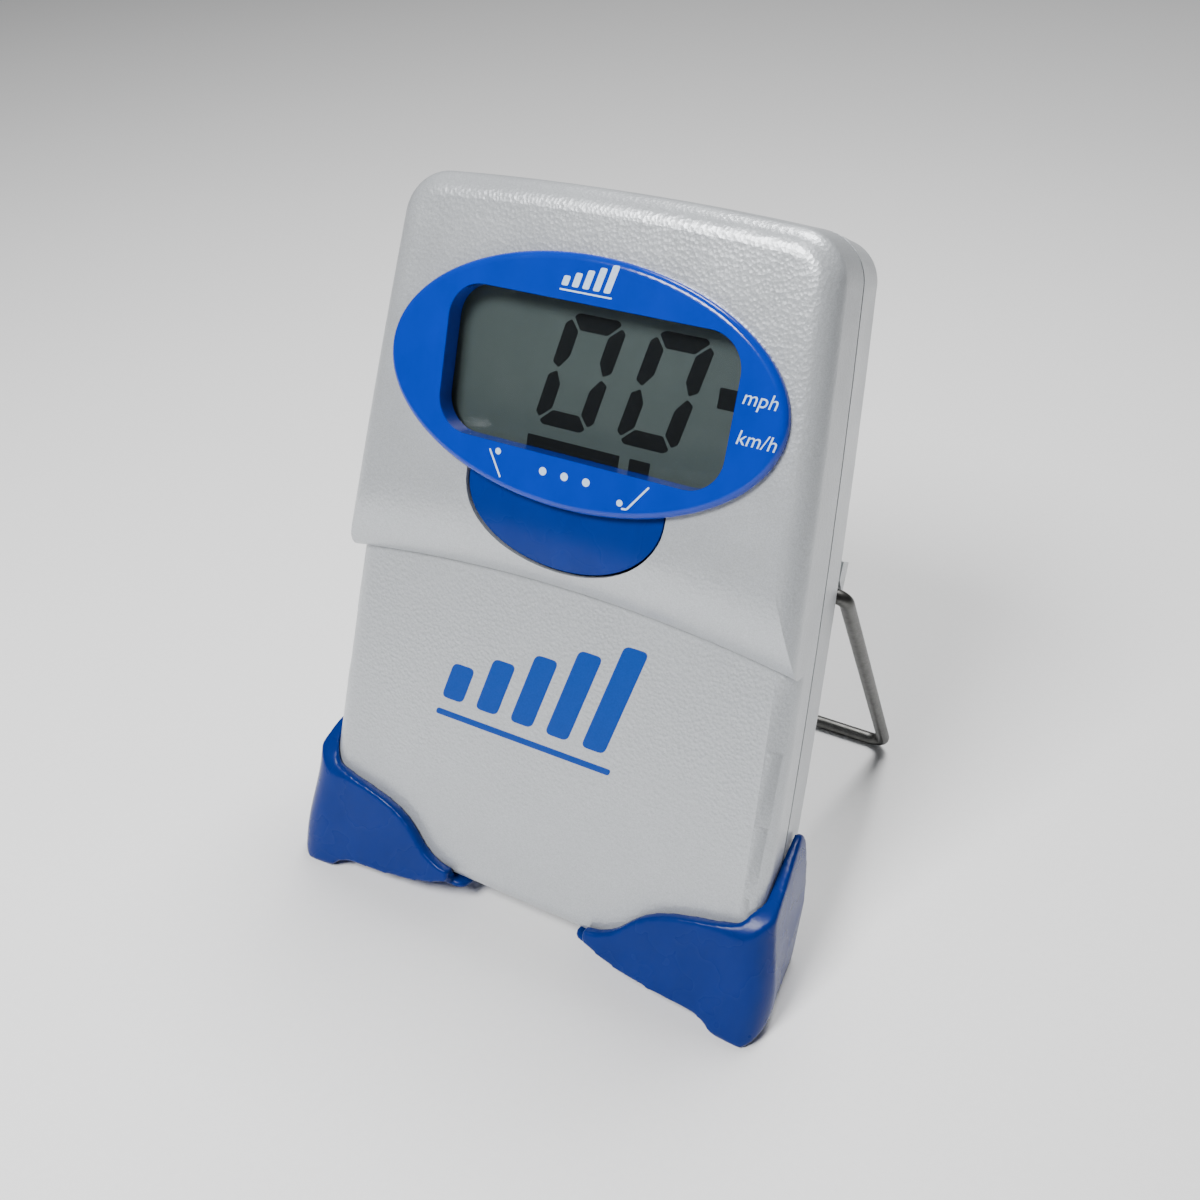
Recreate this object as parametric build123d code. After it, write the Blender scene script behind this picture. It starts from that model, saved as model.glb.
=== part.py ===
from build123d import *
import math
import os

# A free-standing pocket radar speed display, millimetres.
# Every piece is drawn with the case lying on its back: X across the case, Y up the case from its
# bottom edge, Z out through the front. place() then tips it up to its standing angle, with +Z up,
# the front towards -Y, and the origin on the ground under the middle of the whole object.

# Standing pose
lean = 18.0                       # lean back of the case from upright, degrees
ground_gap = 8.68                 # ground to the drawing origin, square to the ground

# Case
case_height = 143.0
bottom_half_width = 50.9
middle_half_width = 47.5
top_half_width = 41.4
top_crown = 1.6
top_corner = 9.0
bottom_corner = 7.0
wall = 2.0
parting_z = -14.5
back_z = -30.5
rear_draft = 5.0                  # degrees
reveal = 0.35                     # shadow gap between the two covers
tongue_inset = 1.1
tongue_height = 1.2

# Front face: a raised brow over a lower panel, with a curved crease between them
brow_rise = 3.53                  # height of the brow plane above Z = 0 at the bottom edge
panel_z = -4.6
crease_y = 71.2
crease_radius = 301.6
roll_length = 15.0
roll_depth = 6.8
brow_hollow_y = 81.0
brow_edge = 4.5
panel_edge = 4.0
brow_tilt = math.atan2(brow_rise, case_height)

# Display
display_y = 110.0
bezel_half_width = 39.1
bezel_half_height = 22.2
bezel_thickness = 2.0
bezel_rim = 1.3
window_width = 56.8
window_height = 27.0
window_corner = 6.5
window_x = 1.3
window_dy = 0.5
plug_wall = 1.4
lens_thickness = 1.0
glass_front_z = -2.9
glass_thickness = 1.3
board_front_z = -8.6
board_thickness = 1.6
board_rear_z = board_front_z - board_thickness

# Button
button_half_width = 20.0
button_low_y = 75.5
button_rise = 14.0
button_high_y = 91.4
button_under_y = 88.4
button_gap = 0.5
button_sink = 0.5
button_travel = 0.8
button_flange_z = -4.6
button_bottom_z = -5.4
stem_z = -5.0
switch_y = 82.5
switch_top_z = -6.4
plunger_radius = 1.7
plunger_low_z = -7.1

# Battery bay, four AA cells side by side
cell_radius = 7.1
cell_length = 48.9
cell_pitch = 14.9
cell_shift = 2.5                  # each cell sits towards its positive contact
bay_half_width = 30.3
bay_low_y = 6.3
bay_high_y = 63.7
bay_floor_z = -13.8
bay_wall = 1.3
cell_centre_z = bay_floor_z - 0.1 - cell_radius
contact_thickness = 0.4
contact_half_height = 5.0

# Battery door, hinged on two pins at its lower edge
door_half_width = 33.5
door_hinge_y = 5.0
door_high_y = 66.2
door_thickness = 2.0
door_gap = 0.3
door_pin_radius = 0.7
door_hinge_z = back_z + door_thickness / 2

# Wire stand
wire_radius = 1.5
stand_pivot_y = 75.5
stand_pivot_z = back_z - wire_radius - 0.35
stand_end_x = 39.2
stand_top_x = 46.8
stand_foot_x = 50.9
stand_leg = 81.2
stand_top_bend = 2.4
stand_foot_bend = 4.0
ear_inner_x = 38.6
ear_outer_x = 43.9
pin_clearance = 0.06

# Feet
foot_tip_x = 16.3
foot_front_depth = 1.9
foot_toe_y = -6.9
foot_base_front = 3.1             # depths between which the flat base meets the ground
foot_base_rear = 6.3
foot_gap = 0.15
foot_floor = 2.65
foot_reach = 60.0
foot_screw_x = 38.0
foot_screw_z = -11.5

# Screws
screw_radius = 1.1
screw_fit = 0.03
case_screws_at = ((36.3, 135.0), (39.0, 69.0), (43.0, 22.0))
board_screws_at = ((29.5, 134.6), (29.5, 70.5), (29.5, 12.0))
frame_screw_dx = 32.4
frame_screw_dy = 19.9

brow = Location(Plane(
    origin=(0, display_y, brow_rise * (1 - display_y / case_height)),
    x_dir=(1, 0, 0),
    z_dir=(0, math.sin(brow_tilt), math.cos(brow_tilt)),
))


def ground_y(z):
    """Height up the case at which the ground passes, at depth z of the drawing."""
    stand = math.radians(90 - lean)
    return (-ground_gap - z * math.cos(stand)) / math.sin(stand)


def stand_slope():
    """Angle of the open stand's legs below the back's outward normal, so its bar is on the ground."""
    tip = math.radians(90 - lean)
    pivot_height = stand_pivot_y * math.sin(tip) + stand_pivot_z * math.cos(tip) + ground_gap
    drop = (pivot_height - wire_radius) / stand_leg
    return math.asin(drop) - math.radians(lean)


def rear_reach():
    """World depth of the back of the stand's bar, before centring."""
    tip = math.radians(90 - lean)
    pivot_depth = stand_pivot_y * math.cos(tip) - stand_pivot_z * math.sin(tip)
    run = math.cos(stand_slope() + math.radians(lean)) * stand_leg
    return pivot_depth + run + wire_radius


def front_reach():
    """World depth of the feet's toes, before centring."""
    tip = math.radians(90 - lean)
    return foot_toe_y * math.cos(tip) + foot_front_depth * math.sin(tip)


def place(shape):
    """Tips a piece from the drawing up to the standing pose."""
    depth_middle = (front_reach() + rear_reach()) / 2
    return Pos(0, -depth_middle, ground_gap) * Rot(90 - lean, 0, 0) * shape


def save(name, shape):
    export_step(place(shape), f"parts/{name}.step")


def both_sides(shape):
    return shape + mirror(shape, Plane.YZ)


def box(x0, x1, y0, y1, z0, z1):
    """Box between two corners."""
    middle = Pos((x0 + x1) / 2, (y0 + y1) / 2, (z0 + z1) / 2)
    return middle * Box(x1 - x0, y1 - y0, z1 - z0)


def rod(x, y, z0, z1, radius):
    """Cylinder along Z."""
    return Pos(x, y, (z0 + z1) / 2) * Cylinder(radius, z1 - z0)


def rod_up(x, z, y0, y1, radius):
    """Cylinder along Y, up the case."""
    return Pos(x, (y0 + y1) / 2, z) * Rot(90, 0, 0) * Cylinder(radius, y1 - y0)


def rod_across(y, z, length, radius):
    """Cylinder along X, centred on the case."""
    return Pos(0, y, z) * Rot(0, 90, 0) * Cylinder(radius, length)


def slab(sketch, z0, z1):
    """Flat sketch made solid from z0 up to z1."""
    return extrude(Pos(0, 0, z0) * sketch, amount=z1 - z0)


def outline(inset=0.0):
    """Case outline: bowed sides that narrow upwards, a crowned top and rounded corners."""
    bottom = bottom_half_width - inset
    middle = middle_half_width - inset
    top = top_half_width - inset
    shoulder = case_height - top_crown - inset
    half = case_height / 2
    edges = [
        Line((-bottom, inset), (bottom, inset)),
        ThreePointArc((bottom, inset), (middle, half), (top, shoulder)),
        ThreePointArc((top, shoulder), (0, case_height - inset), (-top, shoulder)),
        ThreePointArc((-top, shoulder), (-middle, half), (-bottom, inset)),
    ]
    face = make_face(edges)
    face = fillet(face.vertices().group_by(Axis.Y)[-1], top_corner - inset)
    return fillet(face.vertices().group_by(Axis.Y)[0], bottom_corner - inset)


def brow_body():
    """The brow as a full-height block with its front edge rounded."""
    block = slab(outline(), parting_z + reveal, brow_rise + 1)
    above = brow * Pos(0, 0, 20) * Box(300, 400, 40)
    block = block - above
    front = block.faces().sort_by(Axis.Z)[-1]
    return fillet(front.edges(), brow_edge)


def panel_body(grow=0.0, low=parting_z + reveal):
    """The lower panel as a full-height block with its front edge rounded."""
    block = slab(outline(-grow), low, panel_z + grow)
    front = block.faces().sort_by(Axis.Z)[-1]
    return fillet(front.edges(), panel_edge + grow)


def roll_cutter():
    """Disc with a concave rim that leaves the brow's curved lower edge."""
    centre_y = crease_y - crease_radius
    centre_z = brow_rise * (1 - centre_y / case_height)
    rim = crease_radius + roll_length
    edges = [
        Line((0, 12), (rim, 12)),
        Line((rim, 12), (rim, 0)),
        EllipticalCenterArc((rim, -roll_depth), roll_length, roll_depth, 90, arc_size=90),
        Line((crease_radius, -roll_depth), (crease_radius, -40)),
        Line((crease_radius, -40), (0, -40)),
        Line((0, -40), (0, 12)),
    ]
    profile = Plane.XZ * make_face(edges)
    disc = revolve(profile, axis=Axis.Z)
    seat = Plane(
        origin=(0, centre_y, centre_z),
        x_dir=(1, 0, 0),
        z_dir=(0, math.sin(brow_tilt), math.cos(brow_tilt)),
    )
    return Location(seat) * disc


def front_body():
    """Outer form of the front cover."""
    return (brow_body() - roll_cutter()) + panel_body()


def rounded(width, height, corner, x=0.0, y=0.0):
    return Pos(x, y) * RectangleRounded(width, height, corner)


def bezel_plug(gap=0.0):
    """Outline of the bezel's collar, which lines the window opening."""
    grow = 2 * (plug_wall + gap)
    corner = window_corner + plug_wall + gap
    return rounded(window_width + grow, window_height + grow, corner, window_x, window_dy)


def button_outline(grow, high):
    """Half-moon outline of the button, cut straight across at height high."""
    middle = button_low_y + button_rise
    moon = Pos(0, middle) * Ellipse(button_half_width + grow, button_rise + grow)
    upper = Pos(0, middle + 10) * Rectangle(2 * (button_half_width + grow), 20)
    below = Pos(0, high - 40) * Rectangle(100, 80)
    return (moon + upper) & below


def boss_top(y):
    """Where a screw boss ends inside the front wall."""
    return -1.0 if y > brow_hollow_y else panel_z - 1.0


def front_cover():
    body = front_body()
    brow_hollow = slab(outline(wall + 0.2), parting_z, 20) & box(-60, 60, brow_hollow_y, 150, -40, 20)
    brow_hollow = brow_hollow - brow * Pos(0, 0, 20 - wall) * Box(300, 400, 40)
    panel_hollow = slab(outline(wall + 0.2), parting_z, panel_z - wall - 0.2)
    pocket = slab(button_outline(3.0, 88.8), parting_z, button_flange_z + button_gap)
    body = body - brow_hollow - panel_hollow - pocket
    for x, y in case_screws_at:
        body = body + both_sides(rod(x, y, parting_z + reveal, boss_top(y), 3.0))
    for x, y in board_screws_at:
        body = body + both_sides(rod(x, y, board_front_z, boss_top(y), 2.3))
    foot_block = box(foot_screw_x - 3.2, foot_screw_x + 3.2, 1.0, 9.6, foot_screw_z - 2.4, panel_z - 1.0)
    body = body + both_sides(foot_block)
    body = body - both_sides(rod_up(foot_screw_x, foot_screw_z, -1, 8.0, screw_radius + screw_fit))
    body = body - brow * slab(bezel_plug(0.25), -20, 20)
    body = body - slab(button_outline(button_gap, button_high_y + 0.6), -20, 20)
    for x in (-33.0, 34.8):
        body = body - brow * rod(x, 0, -6, 6, 1.25)
    for x, y in case_screws_at:
        body = body - both_sides(rod(x, y, parting_z, -7.5, screw_radius + screw_fit))
    for x, y in board_screws_at:
        body = body - both_sides(rod(x, y, board_front_z - 1, -6.0, screw_radius + screw_fit))
    seat = slab(outline(tongue_inset - 0.1), parting_z, parting_z + reveal + tongue_height + 0.2)
    rim = slab(outline(), parting_z, parting_z + reveal + tongue_height + 0.2)
    inner = slab(outline(wall + 0.2), parting_z, parting_z + 5)
    return body - (seat & rim - inner)


def rear_body():
    """Outer form of the rear cover, narrowing towards its rounded back edge."""
    depth = parting_z - back_z
    flipped = Location((0, 0, parting_z), (0, 180, 0))
    block = flipped * extrude(outline(), amount=depth, taper=rear_draft)
    back = block.faces().sort_by(Axis.Z)[0]
    return fillet(back.edges(), 3.0)


def rear_hollow():
    depth = parting_z - back_z - wall - 0.1
    flipped = Location((0, 0, parting_z), (0, 180, 0))
    return flipped * extrude(outline(wall + 0.2), amount=depth, taper=rear_draft)


def stand_ears():
    """Two ears that hold the wire's ends, each with a stop above the open leg."""
    slope = stand_slope()
    rise = 3.4
    ear_profile = Pos(stand_pivot_y, -stand_pivot_z) * Circle(rise)
    ear_profile = ear_profile + Pos(stand_pivot_y, -back_z - 1) * Rectangle(2 * rise, 5.4)
    ear = extrude(Plane.YZ * turn_back(ear_profile), amount=ear_outer_x - ear_inner_x)
    ear = Pos(ear_inner_x, 0, 0) * ear
    reach = wire_radius + 0.35
    along = (math.sin(slope), math.cos(slope))
    across = (math.cos(slope), math.sin(slope))
    foot_y = stand_pivot_y + reach * across[0]
    foot_z = -stand_pivot_z + reach * across[1]
    stop_points = [
        (foot_y + 3.4 * along[0], foot_z - 3.4 * along[1]),
        (foot_y - 2.6 * along[0], foot_z + 2.6 * along[1]),
        (stand_pivot_y + 6.4, foot_z + 1.6),
        (stand_pivot_y + 7.4, foot_z - 3.4 * along[1]),
    ]
    stop = extrude(Plane.YZ * turn_back(make_face(Polyline(*stop_points, close=True))), amount=6.6)
    stop = Pos(ear_inner_x, 0, 0) * stop
    bore = rod_across(stand_pivot_y, stand_pivot_z, 120, wire_radius + pin_clearance)
    return both_sides(ear + stop) - bore


def turn_back(sketch):
    """Turns a sketch drawn with depth positive so that depth runs towards the back."""
    return mirror(sketch, Plane.XZ)


def door_recess():
    """Room for the battery door, its hinge pins and the hinge's rounded edge."""
    side = door_half_width + door_gap
    low = door_hinge_y - door_thickness / 2 - door_gap
    room = box(-side, side, low, door_high_y + door_gap, back_z - 6, back_z + door_thickness + door_gap)
    pins = rod_across(door_hinge_y, door_hinge_z, 2 * side + 3.0, door_pin_radius + pin_clearance)
    notch = Pos(0, door_high_y + 3.5, back_z) * Rot(90, 0, 0) * Cylinder(9.0, 7.0)
    notch = notch & box(-20, 20, door_high_y, door_high_y + 7, back_z - 5, back_z + 1.1)
    return room + pins + notch


def rear_cover():
    body = rear_body() - slab(outline(), parting_z - reveal, parting_z + 1)
    body = body - rear_hollow()
    bay_outer = box(
        -bay_half_width - bay_wall, bay_half_width + bay_wall,
        bay_low_y - bay_wall, bay_high_y + bay_wall,
        back_z + 1, bay_floor_z + bay_wall,
    )
    doubler = box(-37.5, 37.5, 2.6, door_high_y + 3.5, back_z + 1, back_z + 4.6)
    body = body + (doubler & rear_body())
    tongue = slab(outline(tongue_inset), parting_z - 2, parting_z + tongue_height)
    tongue = tongue - slab(outline(wall + 0.2), parting_z - 3, parting_z + 5)
    body = body + tongue + bay_outer
    for x, y in case_screws_at:
        body = body + both_sides(rod(x, y, back_z + 1, parting_z + 0.1, 3.4))
    body = body - box(-bay_half_width, bay_half_width, bay_low_y, bay_high_y, back_z - 5, bay_floor_z)
    body = body - door_recess()
    for x, y in case_screws_at:
        body = body - both_sides(rod(x, y, back_z - 1, parting_z + 3, screw_radius + 0.25))
        body = body - both_sides(rod(x, y, back_z - 1, -20.0, 2.4))
    return body + stand_ears()


def battery_door():
    low = door_hinge_y
    plate = box(-door_half_width, door_half_width, low, door_high_y, back_z, back_z + door_thickness)
    edge = rod_across(low, door_hinge_z, 2 * door_half_width, door_thickness / 2)
    pins = rod_across(low, door_hinge_z, 2 * door_half_width + 2.8, door_pin_radius)
    door = plate + edge + pins
    for row in range(5):
        rib = Pos(0, door_high_y - 5 - 2.2 * row, back_z) * Box(22 - 2 * row, 0.9, 0.8)
        door = door + rib
    return door


def display_bezel():
    """Blue oval frame with a softly rounded rim, a collar through the case and two pegs."""
    oval = slab(Ellipse(bezel_half_width, bezel_half_height), 0, bezel_thickness)
    oval = fillet(oval.edges().group_by(Axis.Z)[-1], bezel_rim)
    collar = slab(bezel_plug(), -wall, bezel_thickness / 2)
    frame = oval + collar
    opening = rounded(window_width, window_height, window_corner, window_x, window_dy)
    frame = frame - slab(opening, -10, 10)
    for x in (-33.0, 34.8):
        frame = frame + rod(x, 0, -wall - 1.0, 0.5, 1.2)
    return brow * frame


def display_window():
    """Clear sheet behind the bezel."""
    sheet = rounded(window_width + 6.0, window_height + 4.0, 5.0, window_x, window_dy)
    return brow * slab(sheet, -wall - lens_thickness, -wall)


def display_block(width, height, z0, z1):
    y = display_y + window_dy
    return box(window_x - width / 2, window_x + width / 2, y - height / 2, y + height / 2, z0, z1)


def lcd_panel():
    """Two bonded glasses, the front one taller to carry the contact ledges."""
    front = display_block(64.0, 37.0, glass_front_z - glass_thickness, glass_front_z)
    rear = display_block(59.0, 31.0, glass_front_z - 2 * glass_thickness, glass_front_z - glass_thickness)
    return front + rear


def lcd_connector_strips():
    """Rubber strips that carry the contacts from the board to the glass."""
    strip = display_block(57.0, 2.6, board_front_z, glass_front_z - glass_thickness)
    return [Pos(0, side * 17.1, 0) * strip for side in (-1, 1)]


def lcd_foam_pad():
    return display_block(56.0, 28.0, board_front_z, glass_front_z - 2 * glass_thickness)


def frame_screws_at():
    """Corners of the display frame where its screws sit."""
    corners = []
    for side in (-1, 1):
        for end in (-1, 1):
            corners.append((window_x + side * frame_screw_dx, display_y + window_dy + end * frame_screw_dy))
    return corners


def lcd_frame():
    """Plastic frame that holds the glass against the board."""
    ledge_z = glass_front_z - glass_thickness
    frame = display_block(69.4, 42.4, board_front_z, ledge_z + 0.5)
    frame = frame - display_block(64.4, 37.4, ledge_z, ledge_z + 2)
    frame = frame - display_block(59.8, 37.4, board_front_z - 1, ledge_z + 1)
    for x, y in frame_screws_at():
        frame = frame - rod(x, y, board_front_z - 1, -6.0, 0.7)
    return frame


def lcd_frame_screws():
    """Small screws from the back of the board into the display frame."""
    return [screw(x, y, board_rear_z, -6.4, 0.66, 1.3, 0.9) for x, y in frame_screws_at()]


def screw(x, y, seat_z, tip_z, radius, head_radius, head_height):
    """Pan-head screw that points towards the front, with a cross recess."""
    shank = rod(x, y, seat_z, tip_z - radius, radius)
    tip = Pos(x, y, tip_z - radius / 2) * Cone(radius, 0.25 * radius, radius)
    head = rod(x, y, seat_z - head_height, seat_z, head_radius)
    head = fillet(head.edges().group_by(Axis.Z)[0], 0.35 * head_height)
    slot = Box(1.3 * head_radius, 0.28 * head_radius, head_height)
    cross = Pos(x, y, seat_z - head_height) * (slot + Rot(0, 0, 90) * slot)
    return head + shank + tip - cross


def main_board():
    """Long board behind the display and the antenna, with its mounting holes."""
    board = box(-33.5, 33.5, 8.5, 138.0, board_rear_z, board_front_z)
    board = fillet(board.edges().filter_by(Axis.Z), 2.0)
    for x, y in board_screws_at:
        board = board - both_sides(rod(x, y, -20, 0, screw_radius + 0.25))
    for x, y in frame_screws_at():
        board = board - rod(x, y, -20, 0, 0.85)
    corner_x, corner_y = case_screws_at[0]
    notch = both_sides(rod(corner_x, corner_y, -20, 0, 4.2))
    return board - notch


def board_screws():
    screws = []
    for x, y in board_screws_at:
        for side in (-1, 1):
            screws.append(screw(side * x, y, board_rear_z, -6.3, screw_radius, 2.0, 1.3))
    return screws


def case_screws():
    screws = []
    for x, y in case_screws_at:
        for side in (-1, 1):
            screws.append(screw(side * x, y, -20.0, -8.0, screw_radius, 2.1, 1.6))
    return screws


def microcontroller():
    """Flat square chip with a row of leads on each side."""
    chip = Pos(-2, 112, board_rear_z - 0.9) * Box(12, 12, 1.5)
    for k in range(10):
        offset = -5.4 + 1.2 * k
        foot = Box(0.4, 15.4, 0.25)
        chip = chip + Pos(-2 + offset, 112, board_rear_z - 0.125) * foot
        chip = chip + Pos(-2, 112 + offset, board_rear_z - 0.125) * (Rot(0, 0, 90) * foot)
    return chip


def signal_chips():
    """Two amplifier chips between the antenna and the controller."""
    chips = []
    for x in (-16, 14):
        chip = Pos(x, 88, board_rear_z - 0.85) * Box(8.6, 4.0, 1.4)
        for k in range(7):
            foot = Pos(x - 3.81 + 1.27 * k, 88, board_rear_z - 0.125) * Box(0.42, 6.2, 0.25)
            chip = chip + foot
        chips.append(chip)
    return chips


def filter_capacitors():
    """Upright electrolytic cans on the back of the board."""
    cans = []
    for x, y, radius, height in ((20, 122, 4.0, 9.0), (20, 108, 3.2, 7.0), (-20, 122, 3.2, 7.0)):
        can = rod(x, y, board_rear_z - height, board_rear_z, radius)
        cans.append(fillet(can.edges().group_by(Axis.Z)[0], 0.5))
    return cans


def crystal():
    can = slab(rounded(10.8, 4.4, 2.1, -2, 99.5), board_rear_z - 3.4, board_rear_z)
    rim = slab(rounded(11.8, 5.2, 2.5, -2, 99.5), board_rear_z - 0.5, board_rear_z)
    return can + rim


def chip_components():
    """Small surface-mount resistors and capacitors in two rows."""
    pieces = []
    for row in range(2):
        for column in range(7):
            x = -24 + 8 * column
            y = 80.5 - 3.6 * row
            pieces.append(Pos(x, y, board_rear_z - 0.35) * Box(2.0, 1.25, 0.7))
    return pieces


def antenna_board():
    board = box(-29, 29, 17, 65, board_front_z, board_front_z + 1.0)
    return fillet(board.edges().filter_by(Axis.Z), 1.5)


def antenna_patches():
    """Four copper patches with feed lines, a send pair and a receive pair."""
    low = board_front_z + 1.0
    patches = []
    for x in (-14, 14):
        pair = box(x - 6.3, x + 6.3, 22, 34.6, low, low + 0.1)
        pair = pair + box(x - 6.3, x + 6.3, 46, 58.6, low, low + 0.1)
        pair = pair + box(x - 0.6, x + 0.6, 34, 47, low, low + 0.1)
        pair = pair + box(x - 0.6, x + 0.6, 58, 63, low, low + 0.1)
        patches.append(pair)
    return patches


def radar_shield():
    """Tinned can over the microwave oscillator and mixer, open towards the board."""
    can = box(-20, 20, 30, 60, board_rear_z - 1.8, board_rear_z)
    can = fillet(can.edges().filter_by(Axis.Z), 1.2)
    return can - box(-19.7, 19.7, 30.3, 59.7, board_rear_z - 1.5, board_rear_z + 1)


def mode_button():
    """Half-moon button whose face follows the brow just below its surface."""
    face = Pos(0, 0, -button_sink) * brow_body() - Pos(0, 0, -button_sink) * roll_cutter()
    cap = slab(button_outline(0, button_high_y), button_bottom_z, 10) & face
    under = box(-60, 60, button_under_y, 120, -20, -2.6)
    flange = slab(button_outline(2.2, button_under_y), button_bottom_z, button_flange_z)
    button = (cap - under) + flange
    hollow = slab(button_outline(-1.6, button_under_y - 1.6), -20, -3.6)
    stem = rod(0, switch_y, stem_z, -2.5, 2.0)
    ribs = box(-15, 15, switch_y - 0.6, switch_y + 0.6, stem_z + 0.1, -3.0)
    return button - hollow + stem + ribs


def tact_switch():
    """Push switch on the board, with a bore for its plunger."""
    body = box(-3.1, 3.1, switch_y - 3.1, switch_y + 3.1, board_front_z, switch_top_z)
    body = body - rod(0, switch_y, plunger_low_z - button_travel - 0.3, 0, plunger_radius + 0.05)
    legs = box(-4.3, 4.3, switch_y - 2.6, switch_y - 1.9, board_front_z, board_front_z + 0.25)
    legs = legs + Pos(0, 4.5, 0) * legs
    return body + legs


def battery_cells():
    """AA cells, alternating end for end, each with its raised positive end."""
    cells = []
    for k in range(4):
        x = (k - 1.5) * cell_pitch
        can = Cylinder(cell_radius, cell_length)
        can = fillet(can.edges(), 0.6)
        cap = Pos(0, 0, cell_length / 2 + 0.6) * Cylinder(2.7, 1.4)
        cell = Rot(-90, 0, 0) * (can + cap)
        flip = 1 if k % 2 == 0 else -1
        middle = (bay_low_y + bay_high_y) / 2 + flip * cell_shift
        if flip < 0:
            cell = Rot(0, 0, 180) * cell
        cells.append(Pos(x, middle, cell_centre_z) * cell)
    return cells


def battery_springs():
    """Conical wire springs against the cells' flat ends."""
    springs = []
    middle = (bay_low_y + bay_high_y) / 2
    for k in range(4):
        flip = 1 if k % 2 == 0 else -1
        near_y = middle + flip * (cell_shift - cell_length / 2)
        end_y = bay_low_y + 0.5 if flip > 0 else bay_high_y - 0.5
        length = abs(near_y - end_y) - 0.7
        turn = Helix(pitch=length / 3.5, height=length, radius=4.2, cone_angle=-18)
        section = Plane(origin=turn @ 0, z_dir=turn % 0) * Circle(0.3)
        coil = sweep(section, path=turn, is_frenet=True)
        coil = Rot(-90, 0, 0) * coil if flip > 0 else Rot(90, 0, 0) * coil
        start_y = end_y + 0.35 * flip
        springs.append(Pos((k - 1.5) * cell_pitch, start_y, cell_centre_z) * coil)
    return springs


def contact_plate(left, right, y0, y1):
    """One sheet contact, its sides given in cell pitches from the middle."""
    return box(
        left * cell_pitch, right * cell_pitch, y0, y1,
        cell_centre_z - contact_half_height, cell_centre_z + contact_half_height,
    )


def battery_contact_plates():
    """Sheet contacts at both ends of the bay that join the cells in series."""
    plates = []
    for left, right in ((-1.9, -1.1), (-0.9, 0.9), (1.1, 1.9)):
        plates.append(contact_plate(left, right, bay_low_y, bay_low_y + contact_thickness))
    for left, right in ((-1.9, -0.1), (0.1, 1.9)):
        plates.append(contact_plate(left, right, bay_high_y - contact_thickness, bay_high_y))
    return plates


def battery_leads():
    """Two insulated leads from the bay's wall to the board."""
    leads = []
    for x in (-25.5, -22.0):
        points = [(x, bay_high_y + bay_wall, -18), (x, 71.5, -18), (x, 71.5, board_rear_z)]
        path = FilletPolyline(*points, radius=3.0)
        section = Plane(origin=path @ 0, z_dir=path % 0) * Circle(0.6)
        leads.append(sweep(section, path=path))
    return leads


def foot_front_profile():
    """Right foot from the front: an S-shaped upper edge, a flared side and a nub below."""
    tip = foot_tip_x
    edges = [
        Spline((tip, 3.0), (19.5, 3.7), (23.0, 5.8), (26.6, 9.6), (32.5, 13.2), (40.0, 15.3), (46.0, 16.9)),
        Spline((46.0, 16.9), (48.4, 20.0), (49.4, 27.0), (49.6, 36.0), tangents=((3, 1), (0, 1))),
        Line((49.6, 36.0), (51.0, 36.0)),
        Line((51.0, 36.0), (51.0, 31.5)),
        Spline((51.0, 31.5), (52.3, 27.5), (53.3, 20.0), (54.3, 9.0), (54.9, 0.5)),
        Spline((54.9, 0.5), (53.9, -4.0), (51.8, -7.0), (49.6, -8.8)),
        Line((49.6, -8.8), (46.4, -8.8)),
        Spline((46.4, -8.8), (45.2, -7.0), (43.2, -5.2), (40.5, -4.5), (33.0, -3.8), (22.0, -1.8),
               (tip, 0.6)),
        Line((tip, 0.6), (tip, 3.0)),
    ]
    return make_face(edges)


def foot_side_profile():
    """Foot from its side, depth first: a flat front, a swept ear and a flat base on the ground."""
    under = -foot_floor - foot_gap
    toe = (foot_base_front, ground_y(-foot_base_front))
    heel = (foot_base_rear, ground_y(-foot_base_rear))
    edges = [
        Line(toe, (foot_front_depth, foot_toe_y)),
        Line((foot_front_depth, foot_toe_y), (foot_front_depth, 15.0)),
        Spline((foot_front_depth, 15.0), (4.2, 19.2), (8.5, 23.0), (14.0, 26.8), (20.6, 30.0)),
        Spline((20.6, 30.0), (22.8, 29.2), (23.5, 26.4)),
        Spline((23.5, 26.4), (24.6, 18.0), (26.3, 6.0), (27.0, 0.6)),
        ThreePointArc((27.0, 0.6), (26.4, -0.1), (24.6, -0.8)),
        Line((24.6, -0.8), (17.0, under)),
        Line((17.0, under), (9.2, under)),
        ThreePointArc((9.2, under), (7.4, -4.4), heel),
        Line(heel, toe),
    ]
    return make_face(edges)


def foot_plan():
    """Foot from above: a flat front that turns through a broad soft corner into the flared side."""
    edges = [
        Line((0, -foot_front_depth), (46.5, -foot_front_depth)),
        Spline((46.5, -foot_front_depth), (51.6, -3.2), (54.2, -6.6), (54.9, -11.5),
               tangents=((1, 0), (0, -1))),
        Line((54.9, -11.5), (53.5, -28.0)),
        Line((53.5, -28.0), (53.5, -foot_reach)),
        Line((53.5, -foot_reach), (0, -foot_reach)),
        Line((0, -foot_reach), (0, -foot_front_depth)),
    ]
    return make_face(edges)


def foot():
    """Right foot: a boot round the case's lower corner, with a tab of its floor under the case."""
    from_front = slab(foot_front_profile(), -foot_reach, foot_reach)
    from_side = extrude(Plane.YZ * Rot(0, 0, -90) * foot_side_profile(), amount=2 * foot_reach)
    from_above = extrude(Plane.XZ * foot_plan(), amount=foot_reach, both=True)
    tab = box(13.2, 24.0, -1.7, -foot_gap, -20.0, panel_z)
    tab = fillet(tab.edges().filter_by(Axis.Y).group_by(Axis.X)[0], 2.5)
    boot = (from_front & from_side & from_above) + tab
    boot = boot - panel_body(foot_gap, -45)
    hole = rod_up(foot_screw_x, foot_screw_z, -20, 0, screw_radius + 0.25)
    return boot - hole


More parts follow.
